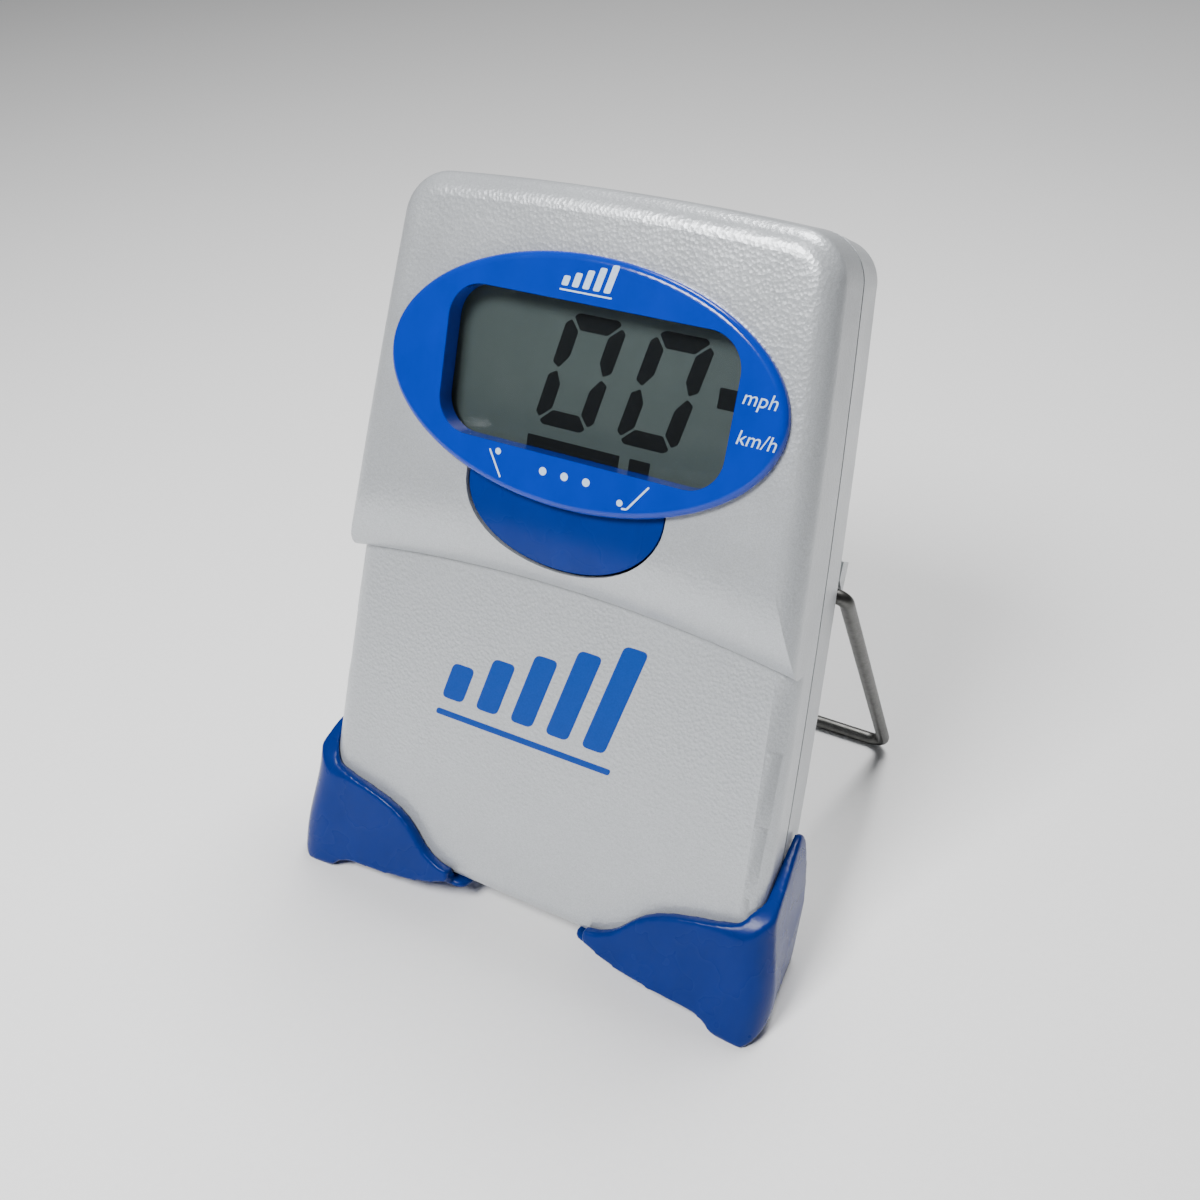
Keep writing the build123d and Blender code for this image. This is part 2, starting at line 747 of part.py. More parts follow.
def foot_screws():
    """One screw under each foot, up into the front cover."""
    upright = Rot(-90, 0, 0) * screw(0, 0, 0, 9.0, screw_radius, 2.1, 1.4)
    seat_y = -foot_floor - foot_gap
    return [Pos(side * foot_screw_x, seat_y, foot_screw_z) * upright for side in (-1, 1)]


def wire_stand():
    """One bent wire: two ends turned inwards into the ears, two legs and a bar."""
    points = [
        (-stand_end_x, 0),
        (-stand_top_x, 0),
        (-stand_foot_x, -stand_leg),
        (stand_foot_x, -stand_leg),
        (stand_top_x, 0),
        (stand_end_x, 0),
    ]
    path = FilletPolyline(*points, radius=[stand_top_bend, stand_foot_bend, stand_foot_bend, stand_top_bend])
    section = Plane(origin=path @ 0, z_dir=path % 0) * Circle(wire_radius)
    flat = sweep(section, path=path)
    angle = 90 - math.degrees(stand_slope())
    return Pos(0, stand_pivot_y, stand_pivot_z) * Rot(angle, 0, 0) * flat


def switch_plunger():
    return rod(0, switch_y, plunger_low_z, stem_z, plunger_radius)


os.makedirs("parts", exist_ok=True)
save("front_cover", front_cover())
save("rear_cover", rear_cover())
save("battery_door", battery_door())
save("display_bezel", display_bezel())
save("display_window", display_window())
save("lcd_panel", lcd_panel())
save("lcd_connector_strips", Compound(lcd_connector_strips()))
save("lcd_foam_pad", lcd_foam_pad())
save("lcd_frame", lcd_frame())
save("lcd_frame_screws", Compound(lcd_frame_screws()))
save("main_board", main_board())
save("board_screws", Compound(board_screws()))
save("case_screws", Compound(case_screws()))
save("microcontroller", microcontroller())
save("signal_chips", Compound(signal_chips()))
save("filter_capacitors", Compound(filter_capacitors()))
save("crystal", crystal())
save("chip_components", Compound(chip_components()))
save("antenna_board", antenna_board())
save("antenna_patches", Compound(antenna_patches()))
save("radar_shield", radar_shield())
save("mode_button", mode_button())
save("tact_switch", tact_switch())
save("switch_plunger", switch_plunger())
save("battery_cells", Compound(battery_cells()))
save("battery_springs", Compound(battery_springs()))
save("battery_contact_plates", Compound(battery_contact_plates()))
save("battery_leads", Compound(battery_leads()))
save("right_foot", foot())
save("left_foot", mirror(foot(), Plane.YZ))
save("foot_screws", Compound(foot_screws()))
save("wire_stand", wire_stand())
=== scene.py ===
import math

import bmesh
import bpy
from mathutils import Matrix, Vector


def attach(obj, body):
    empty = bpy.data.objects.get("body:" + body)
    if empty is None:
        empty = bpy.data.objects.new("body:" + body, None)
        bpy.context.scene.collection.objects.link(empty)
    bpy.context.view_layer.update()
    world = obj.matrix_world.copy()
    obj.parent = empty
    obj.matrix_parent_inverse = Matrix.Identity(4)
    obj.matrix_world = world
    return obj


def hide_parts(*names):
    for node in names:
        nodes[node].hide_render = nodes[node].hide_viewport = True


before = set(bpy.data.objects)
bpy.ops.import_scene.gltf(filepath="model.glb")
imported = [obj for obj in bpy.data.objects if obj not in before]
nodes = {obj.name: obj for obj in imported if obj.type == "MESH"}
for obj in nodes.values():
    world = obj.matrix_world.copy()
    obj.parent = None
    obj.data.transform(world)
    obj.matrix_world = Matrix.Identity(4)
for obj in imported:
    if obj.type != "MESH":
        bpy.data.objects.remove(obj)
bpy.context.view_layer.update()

# Lengths in millimetres and angles in degrees, except where a comment says otherwise

MM = 0.001

# Standing pose of the case, and the two planes that carry printing
LEAN = 18.0
DEPTH_MIDDLE = 49.0492
GROUND_GAP = 8.68
CASE_HEIGHT = 143.0
BROW_RISE = 3.53
BEZEL_THICKNESS = 2.0
PANEL_Z = -4.6
GLASS_Z = -2.9
PRINT_THICKNESS = 0.04
PRINT_LIFT = 0.005

CASE_TO_ROW = (
    Matrix.Translation((0, -DEPTH_MIDDLE * MM, GROUND_GAP * MM))
    @ Matrix.Rotation(math.radians(90 - LEAN), 4, "X")
    @ Matrix.Scale(MM, 4)
)


# ---------------------------------------------------------------- material helpers

def new_material(name, colour, roughness, **settings):
    """Principled material. Settings are constant socket values, with _ for each space in their names."""
    material = bpy.data.materials.new(name)
    material.use_nodes = True
    tree = material.node_tree
    shader = tree.nodes["Principled BSDF"]
    shader.inputs["Base Color"].default_value = (*colour, 1.0)
    shader.inputs["Roughness"].default_value = roughness
    for key, value in settings.items():
        shader.inputs[key.replace("_", " ")].default_value = value
    return material, tree, shader


def add_node(tree, kind, **values):
    """New shader node. Values are constant inputs, with _ for each space in their names."""
    node = tree.nodes.new(kind)
    for key, value in values.items():
        node.inputs[key.replace("_", " ")].default_value = value
    return node


def object_place(tree, stretch=(1, 1, 1)):
    """Object coordinates in metres, stretched for directional marks."""
    place = tree.nodes.new("ShaderNodeTexCoord")
    mapping = tree.nodes.new("ShaderNodeMapping")
    mapping.inputs["Scale"].default_value = stretch
    tree.links.new(place.outputs["Object"], mapping.inputs["Vector"])
    return mapping.outputs["Vector"]


def noise(tree, size_mm, detail=3.0, stretch=(1, 1, 1)):
    """Noise whose blobs are about size_mm across."""
    node = add_node(tree, "ShaderNodeTexNoise", Scale=1.0 / (size_mm * MM), Detail=detail)
    tree.links.new(object_place(tree, stretch), node.inputs["Vector"])
    return node.outputs["Fac"]


def cells(tree, size_mm):
    """Distance to the middle of irregular cells about size_mm across."""
    node = add_node(tree, "ShaderNodeTexVoronoi", Scale=1.0 / (size_mm * MM))
    tree.links.new(object_place(tree), node.inputs["Vector"])
    return node.outputs["Distance"]


def colour_between(tree, shader, source, dark, light, low=0.35, high=0.65):
    """Colours the shader from dark to light as the source goes from low to high."""
    ramp = tree.nodes.new("ShaderNodeValToRGB")
    ramp.color_ramp.elements[0].position = low
    ramp.color_ramp.elements[0].color = (*dark, 1.0)
    ramp.color_ramp.elements[1].position = high
    ramp.color_ramp.elements[1].color = (*light, 1.0)
    tree.links.new(source, ramp.inputs["Fac"])
    tree.links.new(ramp.outputs["Color"], shader.inputs["Base Color"])


def roughness_between(tree, shader, source, smooth, rough):
    """Roughens the shader from smooth to rough over the middle of the source's range."""
    node = add_node(tree, "ShaderNodeMapRange", From_Min=0.3, From_Max=0.7, To_Min=smooth, To_Max=rough)
    tree.links.new(source, node.inputs["Value"])
    tree.links.new(node.outputs["Result"], shader.inputs["Roughness"])


def add_bump(tree, shader, source, depth_mm):
    """Adds one layer of relief on top of any that the shader already has."""
    bump = add_node(tree, "ShaderNodeBump", Distance=depth_mm * MM, Strength=1.0)
    tree.links.new(source, bump.inputs["Height"])
    if shader.inputs["Normal"].is_linked:
        tree.links.new(shader.inputs["Normal"].links[0].from_socket, bump.inputs["Normal"])
    tree.links.new(bump.outputs["Normal"], shader.inputs["Normal"])


def shade(colour, factor):
    """The colour made darker or lighter by a factor."""
    return tuple(channel * factor for channel in colour)


# ---------------------------------------------------------------- materials

def grained_case(name, colour, grain_mm, grain_depth, sheen_metal):
    """Pearl grey moulding with an orange-peel grain and a fine metallic sparkle."""
    material, tree, shader = new_material(
        name, colour, 0.4, Metallic=sheen_metal, Coat_Weight=0.35, Coat_Roughness=0.28,
    )
    sparkle = noise(tree, 0.22, 2.0)
    colour_between(tree, shader, sparkle, shade(colour, 0.90), shade(colour, 1.10))
    roughness_between(tree, shader, noise(tree, 9.0, 4.0), 0.30, 0.38)
    add_bump(tree, shader, cells(tree, grain_mm), grain_depth)
    add_bump(tree, shader, noise(tree, 0.45, 2.0), grain_depth * 0.3)
    return material


def blue_moulding(name, colour, smooth, rough, grain_mm, grain_depth, coat):
    """Blue plastic with faint flow marks and a fine grain."""
    material, tree, shader = new_material(
        name, colour, rough, Coat_Weight=coat, Coat_Roughness=smooth, Specular_IOR_Level=0.16,
    )
    flow = noise(tree, 6.0, 5.0, (1.0, 1.0, 0.4))
    colour_between(tree, shader, flow, shade(colour, 0.95), shade(colour, 1.05))
    roughness_between(tree, shader, noise(tree, 8.0, 2.0), smooth, rough)
    add_bump(tree, shader, cells(tree, grain_mm), grain_depth)
    add_bump(tree, shader, noise(tree, 14.0, 1.0), 0.03)
    return material


def satin_metal(name, colour, smooth, rough, stretch):
    """Plated or drawn metal with fine lengthwise marks and dull spots."""
    material, tree, shader = new_material(name, colour, rough, Metallic=1.0)
    drawn = noise(tree, 0.25, 4.0, stretch)
    colour_between(tree, shader, noise(tree, 1.6, 5.0), shade(colour, 0.78), colour)
    roughness_between(tree, shader, drawn, smooth, rough)
    add_bump(tree, shader, drawn, 0.012)
    return material


def clear_window():
    """Thin clear acrylic: nearly all light passes, and the surface stays glossy."""
    material, tree, shader = new_material("clear_acrylic", (0.05, 0.06, 0.06), 0.06, Alpha=0.05, IOR=1.49)
    roughness_between(tree, shader, noise(tree, 3.0, 6.0), 0.03, 0.09)
    add_bump(tree, shader, noise(tree, 20.0, 1.0), 0.01)
    return material


def lcd_surface():
    """Grey-green liquid crystal over its grainy reflector."""
    colour = (0.048, 0.065, 0.063)
    material, tree, shader = new_material("lcd_glass", colour, 0.3, Specular_IOR_Level=0.3)
    colour_between(tree, shader, noise(tree, 0.18, 2.0), shade(colour, 0.88), shade(colour, 1.12))
    roughness_between(tree, shader, noise(tree, 4.0, 3.0), 0.28, 0.4)
    add_bump(tree, shader, noise(tree, 0.3, 2.0), 0.004)
    return material


def lcd_ink():
    """Dark liquid-crystal segments, very slightly uneven."""
    colour = (0.002, 0.0024, 0.0034)
    material, tree, shader = new_material("lcd_segments", colour, 0.6, Specular_IOR_Level=0.05)
    colour_between(tree, shader, noise(tree, 0.5, 3.0), shade(colour, 0.7), shade(colour, 1.4))
    roughness_between(tree, shader, noise(tree, 0.8, 3.0), 0.55, 0.7)
    return material


def print_ink(name, colour):
    """Pad-printed ink, a little uneven, with pinholes of a fine screen."""
    material, tree, shader = new_material(name, colour, 0.4, Specular_IOR_Level=0.2)
    colour_between(tree, shader, noise(tree, 0.35, 4.0), shade(colour, 0.9), shade(colour, 1.06))
    roughness_between(tree, shader, noise(tree, 1.0, 4.0), 0.34, 0.48)
    add_bump(tree, shader, noise(tree, 0.2, 2.0), 0.008)
    return material


def moulded(name, colour, smooth=0.4, rough=0.6, grain_mm=0.5, grain_depth=0.02, **settings):
    """Everyday moulded or coated surface with fine grain and slight colour variation."""
    material, tree, shader = new_material(name, colour, rough, **settings)
    colour_between(tree, shader, noise(tree, grain_mm * 4, 5.0), shade(colour, 0.82), shade(colour, 1.1))
    roughness_between(tree, shader, noise(tree, grain_mm * 6, 4.0), smooth, rough)
    add_bump(tree, shader, noise(tree, grain_mm, 3.0), grain_depth)
    return material


def paper():
    """Plain pale studio paper, almost even."""
    colour = (0.84, 0.84, 0.84)
    material, tree, shader = new_material("floor_paper", colour, 0.95)
    colour_between(tree, shader, noise(tree, 1.5, 3.0), shade(colour, 0.985), colour)
    roughness_between(tree, shader, noise(tree, 0.8, 3.0), 0.9, 0.98)
    return material


def circuit_board():
    """Green board: fibre weave under the lacquer and paler copper fill in broad areas."""
    colour = (0.012, 0.11, 0.045)
    material, tree, shader = new_material("circuit_board", colour, 0.35, Coat_Weight=0.4, Coat_Roughness=0.2)
    weave = add_node(tree, "ShaderNodeTexWave", Scale=1.0 / (1.2 * MM), Distortion=2.0)
    tree.links.new(object_place(tree), weave.inputs["Vector"])
    colour_between(tree, shader, noise(tree, 5.0, 2.0), shade(colour, 0.7), shade(colour, 1.5), 0.48, 0.52)
    roughness_between(tree, shader, noise(tree, 2.0, 4.0), 0.28, 0.42)
    add_bump(tree, shader, weave.outputs["Fac"], 0.01)
    return material


BEZEL_BLUE = (0.0, 0.027, 0.33)
FOOT_BLUE = (0.0, 0.016, 0.15)
CASE_GREY = (0.44, 0.46, 0.48)


def make_materials():
    """One finished material for each slot of the record."""
    metal_stretch = (0.15, 1.0, 1.0)
    return {
        "case_plastic": grained_case("case_plastic", CASE_GREY, 0.72, 0.060, 0.35),
        "bezel_plastic": blue_moulding("bezel_plastic", BEZEL_BLUE, 0.12, 0.26, 0.5, 0.004, 0.5),
        "foot_plastic": blue_moulding("foot_plastic", FOOT_BLUE, 0.24, 0.32, 0.6, 0.010, 0.0),
        "button_plastic": blue_moulding("button_plastic", shade(FOOT_BLUE, 1.15), 0.24, 0.32, 0.5, 0.01, 0.0),
        "clear_window": clear_window(),
        "lcd_glass": lcd_surface(),
        "contact_rubber": moulded("contact_rubber", (0.35, 0.34, 0.33), 0.7, 0.85, 0.4, 0.02),
        "foam": moulded("foam", (0.05, 0.05, 0.055), 0.85, 0.98, 0.7, 0.15),
        "inner_plastic": moulded("inner_plastic", (0.08, 0.085, 0.09), 0.4, 0.55, 0.6, 0.02),
        "circuit_board": circuit_board(),
        "chip_black": moulded("chip_black", (0.016, 0.017, 0.019), 0.45, 0.62, 0.25, 0.01),
        "copper": satin_metal("copper", (0.78, 0.42, 0.24), 0.2, 0.4, (1, 1, 1)),
        "tin_plate": satin_metal("tin_plate", (0.62, 0.63, 0.64), 0.18, 0.4, metal_stretch),
        "steel_wire": satin_metal("steel_wire", (0.11, 0.11, 0.105), 0.34, 0.5, metal_stretch),
        "screw_steel": satin_metal("screw_steel", (0.30, 0.30, 0.31), 0.22, 0.42, (1, 1, 1)),
        "cell_wrap": moulded("cell_wrap", (0.42, 0.30, 0.10), 0.22, 0.35, 0.8, 0.01, Coat_Weight=0.5),
        "can_sleeve": moulded("can_sleeve", (0.03, 0.05, 0.16), 0.3, 0.42, 0.4, 0.01),
        "lead_wire": moulded("lead_wire", (0.45, 0.02, 0.02), 0.4, 0.55, 0.4, 0.01),
    }


def slot_of(node):
    """The record's material slot of a CAD node, from the name its imported material has."""
    return node.material_slots[0].material.name.split(".")[0]


def finish_nodes(materials):
    """Gives every carried-over CAD node the material of its slot."""
    for node in nodes.values():
        material = materials[slot_of(node)]
        for material_slot in node.material_slots:
            material_slot.material = material


BUTTON_ROUNDING = 0.25
BUTTON_EDGE_ANGLE = 38.0


def round_button():
    """Softens the mode button's moulded edges."""
    bevel = nodes["mode_button"].modifiers.new("soft_edges", "BEVEL")
    bevel.width = BUTTON_ROUNDING * MM
    bevel.segments = 2
    bevel.limit_method = "ANGLE"
    bevel.angle_limit = math.radians(BUTTON_EDGE_ANGLE)
    bevel.harden_normals = True


# ---------------------------------------------------------------- soft-edged feet

FOOT_VOXEL = 0.42
FOOT_SMOOTHING = 14

# How far a foot's corner swells and its ear is tucked in, and the stretches over which each of these fades,
# measured out from the middle of the case, up the case and back from its front
FLARE_OUT = 1.8
FLARE_FORWARD = 0.6
TUCK_IN = 0.4
OUTER_SIDE = (42.0, 53.0)
LOW_END = (-2.0, 17.0)
FRONT_PART = (3.0, 15.0)
EAR_TOP = (18.0, 31.0)


def smooth_step(value, low, high):
    """Eases from 0 below low to 1 above high."""
    t = min(max((value - low) / (high - low), 0.0), 1.0)
    return t * t * (3 - 2 * t)


def flare(mesh):
    """Swells a foot's lower outer front corner and draws the top of its ear in towards the case."""
    to_case = CASE_TO_ROW.inverted()
    for vertex in mesh.vertices:
        spot = to_case @ vertex.co
        side = math.copysign(1.0, spot.x)
        outer = smooth_step(abs(spot.x), *OUTER_SIDE)
        low = 1 - smooth_step(spot.y, *LOW_END)
        front = 1 - smooth_step(-spot.z, *FRONT_PART)
        swell = outer * low * front
        tuck = TUCK_IN * outer * smooth_step(spot.y, *EAR_TOP)
        vertex.co.x += side * (FLARE_OUT * swell - tuck) * MM
        vertex.co.y -= FLARE_FORWARD * swell * MM


def evaluated_mesh(source):
    """Mesh of an object as its modifiers or its text make it."""
    return bpy.data.meshes.new_from_object(source.evaluated_get(bpy.context.evaluated_depsgraph_get()))


def soft_foot(name, material):
    """The moulded foot with every edge rounded, in place of its CAD node."""
    source = nodes[name]
    mesh = source.data.copy()
    mesh.transform(source.matrix_world)
    draft = bpy.data.objects.new(name + "_draft", mesh)
    bpy.context.collection.objects.link(draft)
    remesh = draft.modifiers.new("even_mesh", "REMESH")
    remesh.mode = "VOXEL"
    remesh.voxel_size = FOOT_VOXEL * MM
    relax = draft.modifiers.new("round_edges", "SMOOTH")
    relax.factor = 0.5
    relax.iterations = FOOT_SMOOTHING
    shape = evaluated_mesh(draft)
    bpy.data.objects.remove(draft)
    flare(shape)
    for polygon in shape.polygons:
        polygon.use_smooth = True
    shape.materials.clear()
    shape.materials.append(material)
    piece = bpy.data.objects.new(name + "_moulding", shape)
    bpy.context.collection.objects.link(piece)
    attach(piece, "case")
    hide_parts(name)


# ---------------------------------------------------------------- printed and lit shapes

def face_height(y):
    """Height of the bezel's face above the drawing plane, y up the case."""
    return BROW_RISE * (1 - y / CASE_HEIGHT) + BEZEL_THICKNESS


def brow_angle():
    """Slope of the bezel's face, which falls towards the top, in radians."""
    return -math.atan2(BROW_RISE, CASE_HEIGHT)


def on_bezel(x, y):
    """Places a flat sketch on the bezel's face, with its origin at (x, y)."""
    spot = Matrix.Translation((x, y, face_height(y) + PRINT_LIFT))
    return CASE_TO_ROW @ spot @ Matrix.Rotation(brow_angle(), 4, "X")


def on_panel(x, y):
    """Places a flat sketch on the lower panel, with its origin at (x, y)."""
    return CASE_TO_ROW @ Matrix.Translation((x, y, PANEL_Z + PRINT_LIFT))


def on_glass(x, y):
    """Places a flat sketch on the display glass, with its origin at (x, y)."""
    return CASE_TO_ROW @ Matrix.Translation((x, y, GLASS_Z + PRINT_LIFT))


def slanted(points, angle):
    """Leans outline points to the right by an angle in degrees."""
    lean = math.tan(math.radians(angle))
    return [(x + y * lean, y) for x, y in points]


def softened(points, radius, steps=4):
    """Outline with each corner rounded by a short curve."""
    result = []
    count = len(points)
    for k, corner in enumerate(points):
        here = Vector(corner)
        before = Vector(points[k - 1])
        after = Vector(points[(k + 1) % count])
        back = here + (before - here).normalized() * min(radius, (before - here).length / 2)
        ahead = here + (after - here).normalized() * min(radius, (after - here).length / 2)
        for step in range(steps + 1):
            t = step / steps
            result.append(tuple(back * (1 - t) ** 2 + here * 2 * t * (1 - t) + ahead * t * t))
    return result


def box(left, right, low, high):
    """Outline of an upright rectangle."""
    return [(left, low), (right, low), (right, high), (left, high)]


def disc(radius, x, y, points=24):
    """Outline of a round dot with its middle at (x, y)."""
    turn = 2 * math.pi / points
    return [(x + radius * math.cos(k * turn), y + radius * math.sin(k * turn)) for k in range(points)]


def stroke(start, end, width):
    """Thin bar between two points, with its corners rounded."""
    start, end = Vector(start), Vector(end)
    along = (end - start).normalized()
    side = Vector((-along.y, along.x)) * width / 2
    corners = [tuple(start + side), tuple(start - side), tuple(end - side), tuple(end + side)]
    return softened(corners, width / 2.2)


def printed(name, outlines, place, material):
    """Thin raised shapes from closed outlines in millimetres, joined as one piece."""
    form = bmesh.new()
    for outline in outlines:
        low = [form.verts.new((x, y, 0)) for x, y in outline]
        high = [form.verts.new((x, y, PRINT_THICKNESS)) for x, y in outline]
        count = len(outline)
        form.faces.new(high)
        form.faces.new(list(reversed(low)))
        for k in range(count):
            form.faces.new((low[k], low[(k + 1) % count], high[(k + 1) % count], high[k]))
    bmesh.ops.recalc_face_normals(form, faces=form.faces)
    mesh = bpy.data.meshes.new(name)
    form.to_mesh(mesh)
    form.free()
    piece = bpy.data.objects.new(name, mesh)
    mesh.transform(place)
    bpy.context.collection.objects.link(piece)
    mesh.materials.append(material)
    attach(piece, "case")


def lettering(name, text, x, y, material):
    """Unit lettering as thin solid letters, slanted, on the bezel."""
    curve = bpy.data.curves.new(name + "_outline", "FONT")
    curve.body = text
    curve.size = LETTER_SIZE
    curve.shear = LETTER_SHEAR
    curve.space_character = LETTER_SPACING
    curve.extrude = PRINT_THICKNESS / 2
    curve.resolution_u = 4
    source = bpy.data.objects.new(name + "_source", curve)
    bpy.context.collection.objects.link(source)
    mesh = evaluated_mesh(source)
    bpy.data.objects.remove(source)
    form = bmesh.new()
    form.from_mesh(mesh)
    bmesh.ops.remove_doubles(form, verts=form.verts, dist=LETTER_WELD)
    bmesh.ops.translate(form, verts=form.verts, vec=(0, 0, PRINT_THICKNESS / 2))
    form.to_mesh(mesh)
    form.free()
    mesh.transform(on_bezel(x, y))
    mesh.materials.clear()
    mesh.materials.append(material)
    piece = bpy.data.objects.new(name, mesh)
    bpy.context.collection.objects.link(piece)
    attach(piece, "case")


# Seven-segment digits
DIGIT_WIDTH = 11.9
DIGIT_HEIGHT = 20.8
SEGMENT = 2.95
SEGMENT_GAP = 0.28
CORNER_CUT = 1.8
MIDDLE_STEP = 0.9
SEGMENT_ROUNDING = 0.35
DIGIT_SLANT = 12.5
DIGIT_BASE_Y = 101.0
DIGIT_XS = (-10.3, 6.4)

# Status bars: left, right, lower and upper edge of each
BAR_LOW = 95.0
BAR_HIGH = 98.7
STATUS_BARS = (
    (-10.9, 8.1, BAR_LOW, BAR_HIGH),
    (10.1, 14.2, BAR_LOW, BAR_HIGH),
    (24.6, 29.6, 110.8, 114.4),
)
BAR_ROUNDING = 0.2


def rim_segments():
    """Outlines of the six outer segments, with mitred corners and points at mid height."""
    w, h, t, g = DIGIT_WIDTH, DIGIT_HEIGHT, SEGMENT, SEGMENT_GAP
    mid = h / 2
    cut = CORNER_CUT
    mitre = cut * 0.55
    shoulder = cut * 0.4
    point = t * 0.42
    side = [
        (0, mid + g + MIDDLE_STEP), (0, h - cut - g), (mitre, h - mitre - g),
        (t, h - t - g), (t, mid + g + point * 1.9), (t * 0.5, mid + g),
    ]
    top = [
        (mitre + g, h - shoulder), (cut + g, h), (w - cut - g, h),
        (w - mitre - g, h - shoulder), (w - t - g, h - t), (t + g, h - t),
    ]
    upper_right = [(w - x, y) for x, y in side]
    lower_left = [(x, h - y) for x, y in side]
    lower_right = [(w - x, h - y) for x, y in side]
    bottom = [(x, h - y) for x, y in top]
    return [side, top, upper_right, lower_left, lower_right, bottom]


def add_display(ink):
    """Two noughts and three status bars, dark on the display glass."""
    for k, x in enumerate(DIGIT_XS):
        rounded = [softened(outline, SEGMENT_ROUNDING, 3) for outline in rim_segments()]
        outlines = [slanted(outline, DIGIT_SLANT) for outline in rounded]
        printed(f"digit_{k + 1}", outlines, on_glass(x, DIGIT_BASE_Y), ink)
    bars = [softened(box(*edges), BAR_ROUNDING, 3) for edges in STATUS_BARS]
    printed("status_bars", bars, on_glass(0, 0), ink)


# Marks on the bezel. The icons and dots are placed from MARKS_Y up the case
LETTER_SIZE = 3.5
LETTER_SHEAR = 0.22
LETTER_SPACING = 1.02
LETTER_WELD = 0.0005
MPH_PLACE = (30.6, 113.4)
KMH_PLACE = (30.8, 106.8)
MARKS_Y = 93.0
LINE_WIDTH = 0.35
BALL_RADIUS = 0.6
DOT_RADIUS = 0.75
DOT_XS = (-3.6, 0.8, 5.2)
DOT_Y = 1.0


def left_icon():
    """A leaning bat, with a ball beside its upper end."""
    handle = (-15.0, 2.6)
    tip = (-12.1, -2.1)
    return [stroke(handle, tip, LINE_WIDTH), disc(BALL_RADIUS, -13.2, 2.5)]


def right_icon():
    """A club with a short head, and a ball."""
    grip = (17.2, 3.0)
    heel = (13.7, -1.8)
    toe = (12.7, -1.9)
    return [stroke(grip, heel, LINE_WIDTH), stroke(heel, toe, LINE_WIDTH), disc(BALL_RADIUS, 12.2, -1.0)]


def add_bezel_marks(ink):
    """Units, two line icons and three waiting dots."""
    lettering("unit_mph", "mph", *MPH_PLACE, ink)
    lettering("unit_kmh", "km/h", *KMH_PLACE, ink)
    dots = [disc(DOT_RADIUS, x, DOT_Y) for x in DOT_XS]
    marks = {"icon_left": left_icon(), "icon_right": right_icon(), "waiting_dots": dots}
    for name, outlines in marks.items():
        printed(name, outlines, on_bezel(0, MARKS_Y), ink)


# Emblem of slanted level bars. The bars' sizes are shares of its height or of the pitch between bars
BAR_COUNT = 5
EMBLEM_SLANT = 14.0
LAST_PITCH = 0.4
SHORTEST_BAR = 0.30
BAR_GROWTH = 0.55
BAR_WIDTH = 0.62
BAR_CORNER = 0.16
LINE_SPACE = 0.15
LINE_HEIGHT = 0.05
LINE_CORNER = 0.02
LINE_INSET = 0.45
BEZEL_EMBLEM_SIZE = (11.0, 5.6)
BEZEL_EMBLEM_PLACE = (0.7, 128.4)
PANEL_EMBLEM_SIZE = (44.0, 27.0)
PANEL_EMBLEM_PLACE = (0.4, 50.0)


def level_bars(width, height):
    """Slanted bars of growing height over a thin line, centred on the origin."""
    pitch = width / (BAR_COUNT + LAST_PITCH)
    left = -width / 2
    bottom = -height / 2
    foot = bottom + LINE_SPACE * height
    outlines = []
    for k in range(BAR_COUNT):
        tall = height * (SHORTEST_BAR + BAR_GROWTH * k / (BAR_COUNT - 1))
        x = left + k * pitch
        bar = box(x, x + BAR_WIDTH * pitch, foot, foot + tall)
        outlines.append(slanted(softened(bar, BAR_CORNER * pitch, 4), EMBLEM_SLANT))
    thin = box(left, width / 2 - LINE_INSET * pitch, bottom, bottom + LINE_HEIGHT * height)
    outlines.append(slanted(softened(thin, LINE_CORNER * height, 3), EMBLEM_SLANT))
    return outlines


def add_emblems(pale_ink, blue_ink):
    """The emblem, small and pale on the bezel and large and blue on the lower panel."""
    small = level_bars(*BEZEL_EMBLEM_SIZE)
    large = level_bars(*PANEL_EMBLEM_SIZE)
    printed("bezel_emblem", small, on_bezel(*BEZEL_EMBLEM_PLACE), pale_ink)
    printed("panel_emblem", large, on_panel(*PANEL_EMBLEM_PLACE), blue_ink)


# ---------------------------------------------------------------- camera, floor and light

# Places and sizes in metres, powers in watts
CAMERA_LENS = 36.15
CAMERA_PLACE = (0.0948, -0.1856, 0.2038)
CAMERA_AZIMUTH = 28.1
CAMERA_ELEVATION = 35.0
OBJECT_MIDDLE = (0.0, 0.0, 0.07)
FLOOR_BEHIND = (0.0, 0.5, 0.0)
FLOOR_REACH = 3.0
SKY_COLOUR = (0.93, 0.94, 0.96, 1.0)
SKY_STRENGTH = 0.11


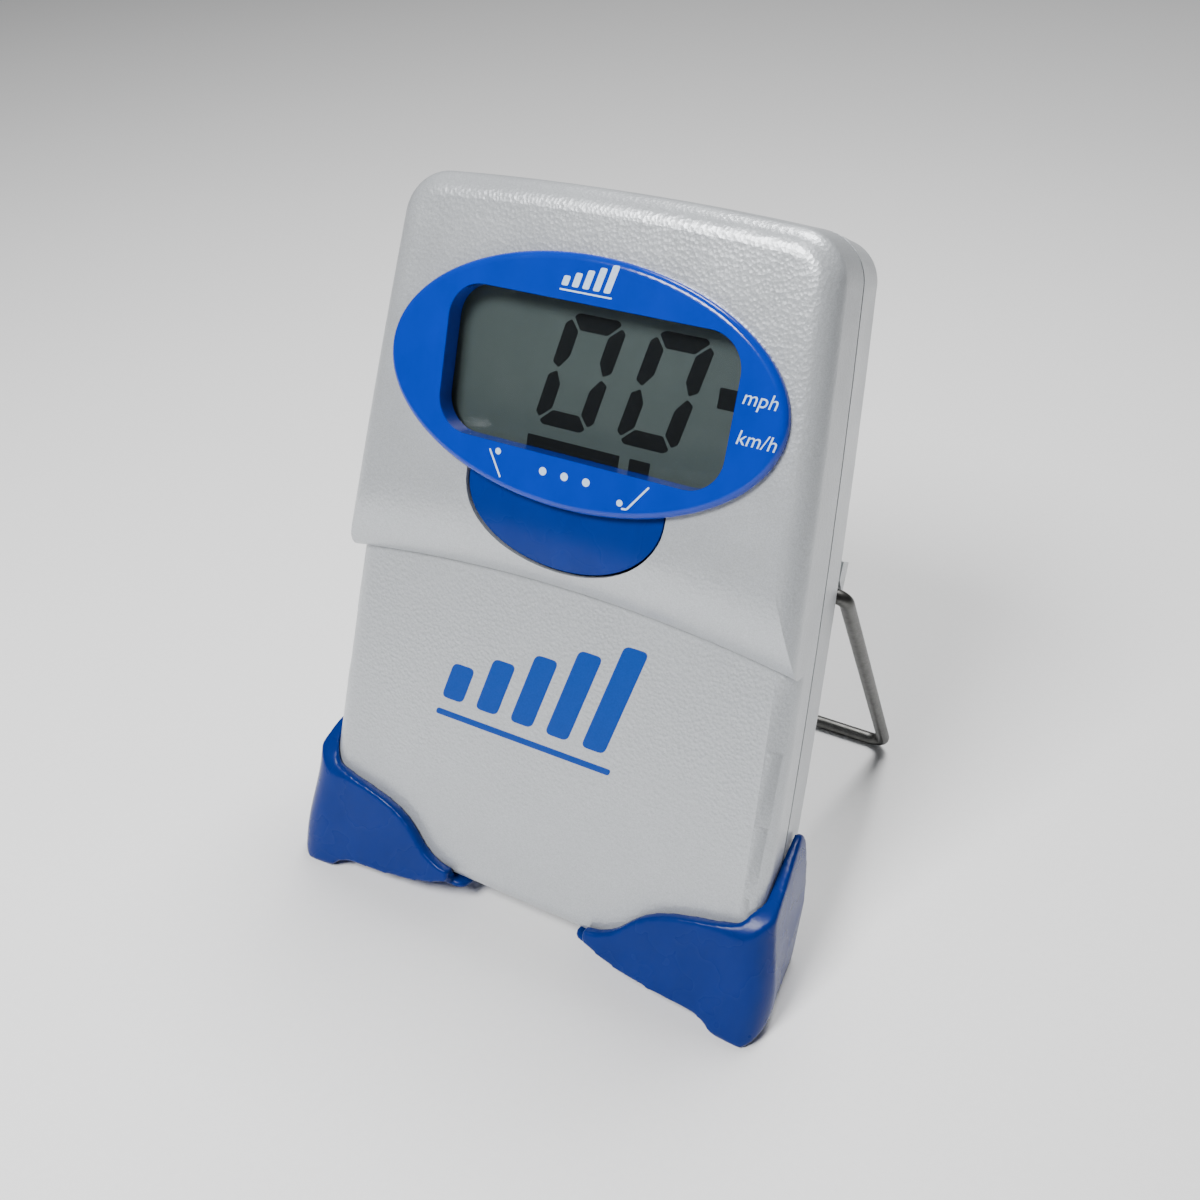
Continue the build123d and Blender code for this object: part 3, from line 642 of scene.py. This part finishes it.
def add_camera():
    """Camera in front, to the right and above, looking down at the object."""
    data = bpy.data.cameras.new("camera")
    data.lens = CAMERA_LENS
    data.sensor_width = 36.0
    data.clip_start = 0.01
    camera = bpy.data.objects.new("camera", data)
    camera.location = CAMERA_PLACE
    azimuth = math.radians(CAMERA_AZIMUTH)
    elevation = math.radians(CAMERA_ELEVATION)
    look = Vector((
        -math.sin(azimuth) * math.cos(elevation),
        math.cos(azimuth) * math.cos(elevation),
        -math.sin(elevation),
    ))
    camera.rotation_euler = look.to_track_quat("-Z", "Y").to_euler()
    bpy.context.collection.objects.link(camera)
    bpy.context.scene.camera = camera


def add_area(name, place, target, size, power):
    """Square white studio light aimed at a target."""
    data = bpy.data.lights.new(name, "AREA")
    data.shape = "SQUARE"
    data.size = size
    data.energy = power
    lamp = bpy.data.objects.new(name, data)
    lamp.location = place
    aim = Vector(target) - Vector(place)
    lamp.rotation_euler = aim.to_track_quat("-Z", "Y").to_euler()
    bpy.context.collection.objects.link(lamp)


def add_light():
    """Key light in front, rim light above the back, one for the floor behind, and a dim even sky."""
    add_area("key_light", (-0.10, -0.42, 0.55), OBJECT_MIDDLE, size=0.20, power=6.4)
    add_area("rim_light", (0.02, 0.22, 0.62), OBJECT_MIDDLE, size=0.18, power=3.0)
    add_area("floor_light", (0.0, 0.9, 1.6), FLOOR_BEHIND, size=0.9, power=16.0)
    world = bpy.data.worlds.new("studio")
    world.use_nodes = True
    sky = world.node_tree.nodes["Background"]
    sky.inputs["Color"].default_value = SKY_COLOUR
    sky.inputs["Strength"].default_value = SKY_STRENGTH
    bpy.context.scene.world = world


def add_floor():
    """Wide flat sheet of studio paper, kept out of the object."""
    mesh = bpy.data.meshes.new("studio_floor")
    form = bmesh.new()
    bmesh.ops.create_grid(form, x_segments=1, y_segments=1, size=FLOOR_REACH)
    form.to_mesh(mesh)
    form.free()
    floor = bpy.data.objects.new("studio_floor", mesh)
    bpy.context.collection.objects.link(floor)
    floor.data.materials.append(paper())


def main():
    materials = make_materials()
    finish_nodes(materials)
    for name in ("right_foot", "left_foot"):
        soft_foot(name, materials["foot_plastic"])
    round_button()
    pale_ink = print_ink("pale_print", (0.50, 0.66, 0.88))
    blue_ink = print_ink("blue_print", (0.0, 0.040, 0.27))
    add_display(lcd_ink())
    add_bezel_marks(pale_ink)
    add_emblems(pale_ink, blue_ink)
    add_camera()
    add_light()
    add_floor()


main()
